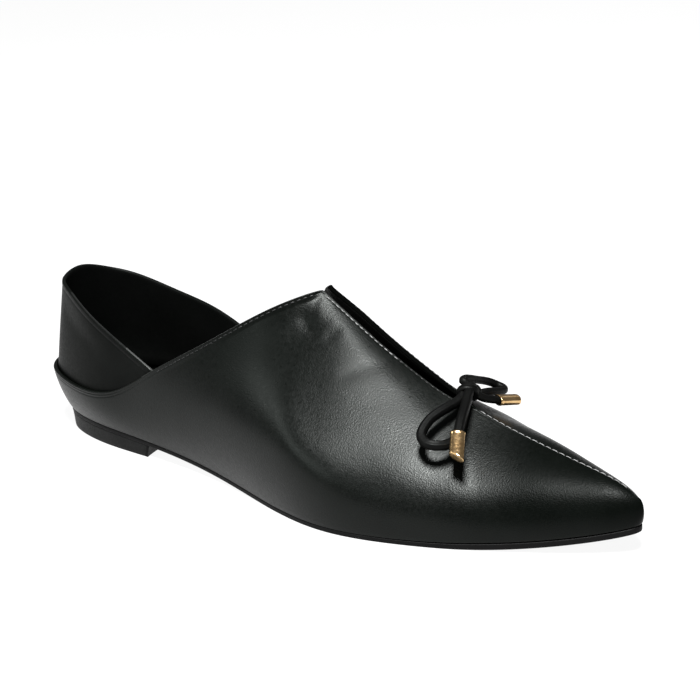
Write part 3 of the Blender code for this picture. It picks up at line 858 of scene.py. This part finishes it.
# near collar edge only: painted highlight, faint towards the back (3), full towards the opening (2)
which[edge_band & (col_q > 2.2) & (col_q <= 4.2)] = 3
which[edge_band & (col_q > 4.2) & (col_q < 5.3)] = 2
which = list(which)
ends = [list(range(count))[::-1], [(len(rings) - 1) * count + k for k in range(count)]]
faces += ends
which += [0, 0]
panel = piece("heel_panel_leather", rings, faces, [panel_leather, lining, painted_edge_highlight, painted_faint_highlight], which)
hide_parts("back_panel")


# ---------------------------------------------------------------- outsole, insole, heel
def plate(name, q, profile, base, tall, crown_top, crown_under, mats):
    """closed plate under the foot; profile is (inset, lift) from the under edge up to the top
    edge, and the two faces are strips from side to side with a soft crown"""
    across = 16
    ring = []
    for inset, lift in profile:
        a, b = outline(-1, q, inset)[0], outline(1, q, inset)[0]
        a[0] = b[0] = (a[0] + b[0]) / 2
        a[-1] = b[-1] = (a[-1] + b[-1]) / 2
        loop = np.vstack([a, b[-2:0:-1]])
        ring.append(np.column_stack([loop, base(loop[:, 0]) + lift * tall(loop[:, 0])]))
    ring = np.array(ring)                                     # levels, round
    k, m = ring.shape[:2]
    pts = list(ring.reshape(-1, 3))
    fs = wrap_faces(k, m, False, True, flip=True).tolist()
    n = len(q)
    for lev, crown, flip in ((0, crown_under, False), (k - 1, crown_top, True)):
        first = lev * m
        rows_ = []
        for i in range(n):
            left, right = first + i, first + (m - i) % m
            if i in (0, n - 1):
                rows_.append([left] * (across + 1))
                continue
            row = [left]
            for t in np.linspace(0, 1, across + 1)[1:-1]:
                p = pts[left] * (1 - t) + pts[right] * t
                p = np.array([p[0], p[1], p[2] + crown * (1 - (2 * t - 1) ** 2)])
                pts.append(p)
                row.append(len(pts) - 1)
            rows_.append(row + [right])
        for r0, r1 in zip(rows_, rows_[1:]):
            for j in range(across):
                f = [r0[j], r0[j + 1], r1[j + 1], r1[j]]
                f = [v for x, v in enumerate(f) if v != f[x - 1]]
                if len(f) > 2:
                    fs.append(f[::-1] if not flip else f)
    return piece(name, pts, fs, mats, None)


sole_q = np.linspace(0, LAST, LAST * 10 + 1)
outsole = plate("outsole_rubber", sole_q,
                [(1.6, 0.0), (.22, 0.0), (.06, .05), (0, .16), (0, .4), (0, .65), (0, .86), (.05, .95), (.22, 1.0), (1.2, 1.0)],
                sole_under, sole_thick, 0.0, 0.0, [sole_rubber])
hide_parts("outsole")
insole = plate("insole_bed", sole_q,
               [(WALL + 1.2, 0), (WALL + .7, .1), (WALL + .55, .4), (WALL + .6, .7), (WALL + 1.1, .92), (WALL + 2.0, 1.0)],
               lambda x: sole_top(x) + CLEAR, lambda x: np.full(np.shape(x), INSOLE_THICK), .25, 0.0, [insole_leather])
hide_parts("insole")


def heel_ring(inset, breast, set_in):
    """near front corner, round the back, far front corner"""
    q = np.linspace(0, 6, 121)
    half = []
    for s in (-1, 1):
        p = outline(s, q, inset)[0]
        stop = np.interp(breast, p[:, 0], q)
        half.append(outline(s, np.linspace(0, 1, 61) ** 1.15 * stop, inset)[0])
    back = (half[0][:1] + half[1][:1]) / 2
    loop = np.vstack([half[0][:0:-1], back, half[1][1:]])
    loop[:, 0] += set_in * np.clip((25 - loop[:, 0]) / 20, 0, 1)
    return loop


# inset, front position (0 foot, 1 head), height (share of the full height, or mm in the first rows)
levels = [(1.5, -1.0, 0.0), (.9, -.35, 0.0), (.68, -.08, .10), (.6, 0.0, .35), (.5, .2, .25), (.4, .45, .5),
          (.28, .75, .75), (.17, .97, .94), (.15, 1.0, 1.0)]
outer, front = [], []
for i, (inset, breast, z) in enumerate(levels):
    at = BREAST_FOOT + (BREAST_HEAD - BREAST_FOOT) * max(breast, 0) + min(breast, 0)
    p = heel_ring(inset, at, HEEL_BACK * (1 - (z if i > 3 else 0)))
    y = np.linspace(p[0, 1], p[-1, 1], len(p))
    bow = (y - y[0]) * (y[-1] - y) / ((y[-1] - y[0]) / 2) ** 2
    g = np.column_stack([at - BREAST_HOLLOW * np.clip(bow, 0, 1), y])
    for loop, kept in ((p, outer), (g, front)):
        top = sole_under(loop[:, 0]) - .06
        kept.append(np.column_stack([loop, np.full(len(loop), z) if i < 4 else top * z]))
outer, front = np.array(outer), np.array(front)
k, m = outer.shape[:2]
pts = list(outer.reshape(-1, 3)) + list(front.reshape(-1, 3))


def heel_at(level, i, face):
    """vertex number; the two faces share their corners"""
    return level * m + i + (k * m if face and 0 < i < m - 1 else 0)


fs, flat = [], []
for i in range(k - 1):
    for j in range(m - 1):
        for face in (0, 1):
            f = [heel_at(i, j, face), heel_at(i, j + 1, face), heel_at(i + 1, j + 1, face), heel_at(i + 1, j, face)]
            fs.append(f[::-1] if face == 0 else f)
            flat.append(face)
for level, turn in ((0, False), (k - 1, True)):
    for j in range(m - 1):
        f = [heel_at(level, j, 0), heel_at(level, j + 1, 0), heel_at(level, j + 1, 1), heel_at(level, j, 1)]
        f = [v for x, v in enumerate(f) if v != f[x - 1]]
        if len(f) > 2:
            fs.append(f[::-1] if turn else f)
            flat.append(1)
used = sorted({v for f in fs for v in f})
number = {v: i for i, v in enumerate(used)}
heel = piece("heel_block", [pts[v] for v in used], [[number[v] for v in f] for f in fs], [heel_rubber], None)
heel.data.polygons.foreach_set("use_smooth", ~np.asarray(flat, bool))
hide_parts("heel")


# ---------------------------------------------------------------- bow
def tube(path, section, up, closed=False):
    """rings of a section (list of (across, over)) along a path; up gives the over direction"""
    path = np.asarray(path, float)
    if closed:
        t = np.roll(path, -1, axis=0) - np.roll(path, 1, axis=0)
    else:
        t = np.gradient(path, axis=0)
    t /= np.linalg.norm(t, axis=1)[:, None]
    up = np.broadcast_to(np.asarray(up, float), path.shape)
    b = np.cross(t, up)
    b /= np.linalg.norm(b, axis=1)[:, None]
    o = np.cross(b, t)
    sec = np.asarray(section, float)
    pts = path[:, None] + b[:, None] * sec[None, :, :1] + o[:, None] * sec[None, :, 1:]
    n, m = pts.shape[:2]
    fs = wrap_faces(n, m, closed, True, flip=True).tolist()
    if not closed:
        fs.append(list(range(m)))
        fs.append([(n - 1) * m + j for j in range(m)][::-1])
    return pts.reshape(-1, 3), fs


def cord_section(wide, thick, groove):
    """flattened round leather cord with a sewn line down its upper face"""
    a = np.linspace(0, 2 * math.pi, 28, endpoint=False)
    x, y = np.cos(a), np.sin(a)
    e = .8
    x, y = np.sign(x) * np.abs(x) ** e, np.sign(y) * np.abs(y) ** e
    dip = groove * (np.exp(-(x / .16) ** 2) - .35 * np.exp(-((np.abs(x) - .4) / .22) ** 2)) * (y > 0)
    return np.column_stack([x * wide / 2, y * thick / 2 - dip])


NEAR_CORD = (3.3, 3.2)      # across and over, as each strand lies
FAR_CORD = (3.1, 2.7)


def strand(name, rows, tip, size, up, nodes):
    """one loop and its tail as a single cord, ending inside its metal end"""
    a, b = np.array(tip[0]), np.array(tip[1])
    inside = [tuple(a + (b - a) * f) for f in (.12, .3, .5)]
    rows = rows + inside
    n = 12 * (len(rows) - 1) + 1
    path = spline(rows, np.linspace(0, len(rows) - 1, n))
    pts, fs = tube(path, cord_section(*size, .22), up)
    ob = piece(name, pts, fs, [cord_leather], None)
    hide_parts(*nodes)
    row = (path - ORIGIN) * MM
    return ob, row, float(np.linalg.norm(np.diff(row, axis=0), axis=1).sum())


def metal_end(name, tip, slant, wide_dir, node_name):
    """drawn oval metal tube with a rolled mouth and a slanting closed end"""
    a, b = np.array(tip[0]), np.array(tip[1])
    axis = b - a
    long = np.linalg.norm(axis)
    axis = axis / long
    s = np.asarray(wide_dir, float)
    s = s - axis * (s @ axis)
    s /= np.linalg.norm(s)
    o = np.cross(axis, s)
    prof = [(1.2, .80), (.25, .80), (.0, .86), (-.02, .95), (.10, 1.02), (.3, 1.04), (.55, 1.03), (.7, 1.0),
            (1.3, 1.0), (3.0, 1.0), (5.0, 1.0), (7.0, 1.0), (long - .8, 1.0), (long - .4, 1.0), (long - .18, .985),
            (long - .06, .955), (long, .90), (long + .03, .5)]
    m = 56
    ang = np.linspace(0, 2 * math.pi, m, endpoint=False)
    pts = []
    for along, rad in prof:
        f = smooth(min(max((along - 2.0) / (long - 2.6), 0), 1))
        for g in ang:
            x, y = np.cos(g), np.sin(g)
            x, y = np.sign(x) * abs(x) ** .86, np.sign(y) * abs(y) ** .86
            push = slant * TIP_WIDE * rad * x * f
            pts.append(a + axis * (along + push) + rad * (x * TIP_WIDE * s + y * TIP_NARROW * o))
    k = len(prof)
    fs = wrap_faces(k, m, False, True).tolist()
    pts.append(a + axis * 1.2)
    pts.append(a + axis * (long + .03))
    for j in range(m):
        fs.append([len(pts) - 2, (j + 1) % m, j])
        fs.append([len(pts) - 1, (k - 1) * m + j, (k - 1) * m + (j + 1) % m])
    ob = piece(name, pts, fs, [gold], None)
    first = (k - 2) * m                                # the flat end face
    ob.data.polygons.foreach_set("use_smooth", [i < first for i in range((k - 1) * m)] + [False] * (len(fs) - (k - 1) * m))
    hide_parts(node_name)
    return ob


tip_near = metal_end("cord_end_near", NEAR_TIP, .55, (.758, .652, 0), "cord_tip_near")
tip_far = metal_end("cord_end_far", FAR_TIP, .0, (.62, -.72, .0), "cord_tip_far")
near_rows = [NEAR_START] + NEAR_LOOP + NEAR_TUCK + NEAR_TAIL
far_rows = [FAR_START] + FAR_LOOP + FAR_TUCK + FAR_TAIL
near_cord, near_path, near_long = strand("bow_cord_near", near_rows, NEAR_TIP, NEAR_CORD, (.34, -.48, .80), ("bow_loop_near", "bow_tail_near"))
far_cord, far_path, far_long = strand("bow_cord_far", far_rows, FAR_TIP, FAR_CORD, (-.10, .30, .95), ("bow_loop_far", "bow_tail_far"))

# the knot: bands of the same cord round the roots of the tails, over a packed middle
kp, kf = [], []
for axis, offset, big, drop in (((.40, -.85, -.34), 2.3, 1.0, 0.0), ((.30, .90, -.30), 1.6, .74, 1.3)):
    axis = np.array(axis) / np.linalg.norm(axis)
    e1 = np.cross(axis, (0, 0, 1.0))
    e1 /= np.linalg.norm(e1)
    e2 = np.cross(e1, axis)
    g = np.linspace(0, 2 * math.pi, 60, endpoint=False)
    out = e1 * np.cos(g)[:, None] + e2 * np.sin(g)[:, None]
    line = (KNOT_AT - (0, 0, drop) + axis * (offset + .5 * np.sin(g + .9))[:, None]
            + e1 * (2.8 * big * np.cos(g))[:, None] + e2 * (2.5 * big * np.sin(g))[:, None])
    p, f = tube(line, cord_section(2.9, 2.0, .20), out, closed=True)
    kf += [[v + len(kp) for v in face] for face in f]
    kp += list(p)
u, v = np.linspace(0, math.pi, 19), np.linspace(0, 2 * math.pi, 32, endpoint=False)
core = [KNOT_AT + np.array((-.15, 1.0, -.05)) * 3.9 * math.cos(a)
        + (np.array((.92, .15, -.36)) * 2.6 * math.cos(b) + np.array((.36, 0, .93)) * 2.2 * math.sin(b)) * max(math.sin(a), .02) * (1 + .05 * math.sin(3 * b + 4 * a))
        for a in u for b in v]
f = wrap_faces(len(u), len(v), False, True, flip=True).tolist()
f.append(list(range(len(v))))
f.append([(len(u) - 1) * len(v) + j for j in range(len(v))][::-1])
kf += [[x + len(kp) for x in face] for face in f]
kp += core
knot = piece("bow_knot_wrap", kp, kf, [cord_leather], None)
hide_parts("bow_knot")

# ---------------------------------------------------------------- camera
AZ, EL, ROLL = math.radians(40.677), math.radians(17.697), math.radians(-2.609)
back = np.array([math.sin(AZ) * math.cos(EL), -math.cos(AZ) * math.cos(EL), math.sin(EL)])
right = np.array([math.cos(AZ), math.sin(AZ), 0])
up = np.cross(back, right)
cam_r = math.cos(ROLL) * right + math.sin(ROLL) * up
cam_u = -math.sin(ROLL) * right + math.cos(ROLL) * up
eye = (np.array([148.146, 0, 49.976]) + back * 600.0 - ORIGIN) * MM
camera = bpy.data.objects.new("camera", bpy.data.cameras.new("camera"))
camera.data.sensor_width = 36.0
camera.data.lens = 1718.91 / 700.0 * 36.0
camera.data.clip_start, camera.data.clip_end = .05, 60.0
camera.matrix_world = Matrix(((cam_r[0], cam_u[0], back[0], eye[0]), (cam_r[1], cam_u[1], back[1], eye[1]),
                              (cam_r[2], cam_u[2], back[2], eye[2]), (0, 0, 0, 1)))
scene.collection.objects.link(camera)
scene.camera = camera

# ---------------------------------------------------------------- floor and light
floor_mat, t, shader, place = new_material("floor_white")
t.links.new(ramp(t, noise(t, place, 400.0, 3.0), [(.3, (.080, .080, .080)), (.7, (.090, .090, .090))]), shader.inputs["Base Color"])
shader.inputs["Roughness"].default_value = .9
shader.inputs["Specular IOR Level"].default_value = .1
shader.inputs["Emission Color"].default_value = (1, 1, 1, 1)
shader.inputs["Emission Strength"].default_value = .925
mesh = bpy.data.meshes.new("floor")
size = 9.0
mesh.from_pydata([(-size, -size, 0), (size, -size, 0), (size, size, 0), (-size, size, 0)], [], [(0, 1, 2, 3)])
mesh.materials.append(floor_mat)
floor = bpy.data.objects.new("floor", mesh)
scene.collection.objects.link(floor)
floor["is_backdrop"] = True

world = bpy.data.worlds.new("studio")
scene.world = world
world.use_nodes = True
world.node_tree.nodes["Background"].inputs["Color"].default_value = (1, 1, 1, 1)
world.node_tree.nodes["Background"].inputs["Strength"].default_value = .15


def softbox(name, at, look, wide, high, radiance, tint=(1, 1, 1)):
    """rectangular soft light; its power follows from how bright its face is"""
    data = bpy.data.lights.new(name, "AREA")
    data.shape = "RECTANGLE"
    data.size, data.size_y = wide, high
    data.energy = radiance * wide * high * math.pi
    data.color = tint
    ob = bpy.data.objects.new(name, data)
    d = Vector(look) - Vector(at)
    ob.location = at
    ob.rotation_mode = "QUATERNION"
    ob.rotation_quaternion = d.to_track_quat("-Z", "Y")
    scene.collection.objects.link(ob)
    return ob


softbox("key", (.39, -.47, 1.26), (.07, -.03, .03), .27, .36, 200.0)
softbox("fill", (-.43, -1.18, .64), (0, 0, .03), .7, .45, 4.2, (.94, 1, .97))
softbox("side", (-.92, -.64, .81), (0, -.02, .04), .6, .42, 4.0, (.95, 1, .97))
softbox("back", (-.55, 1.30, 1.05), (0, .1, 0), 1.2, .5, .45)

scene.view_settings.view_transform = "Standard"
scene.view_settings.look = "None"
scene.view_settings.exposure = 0.0

low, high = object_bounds()
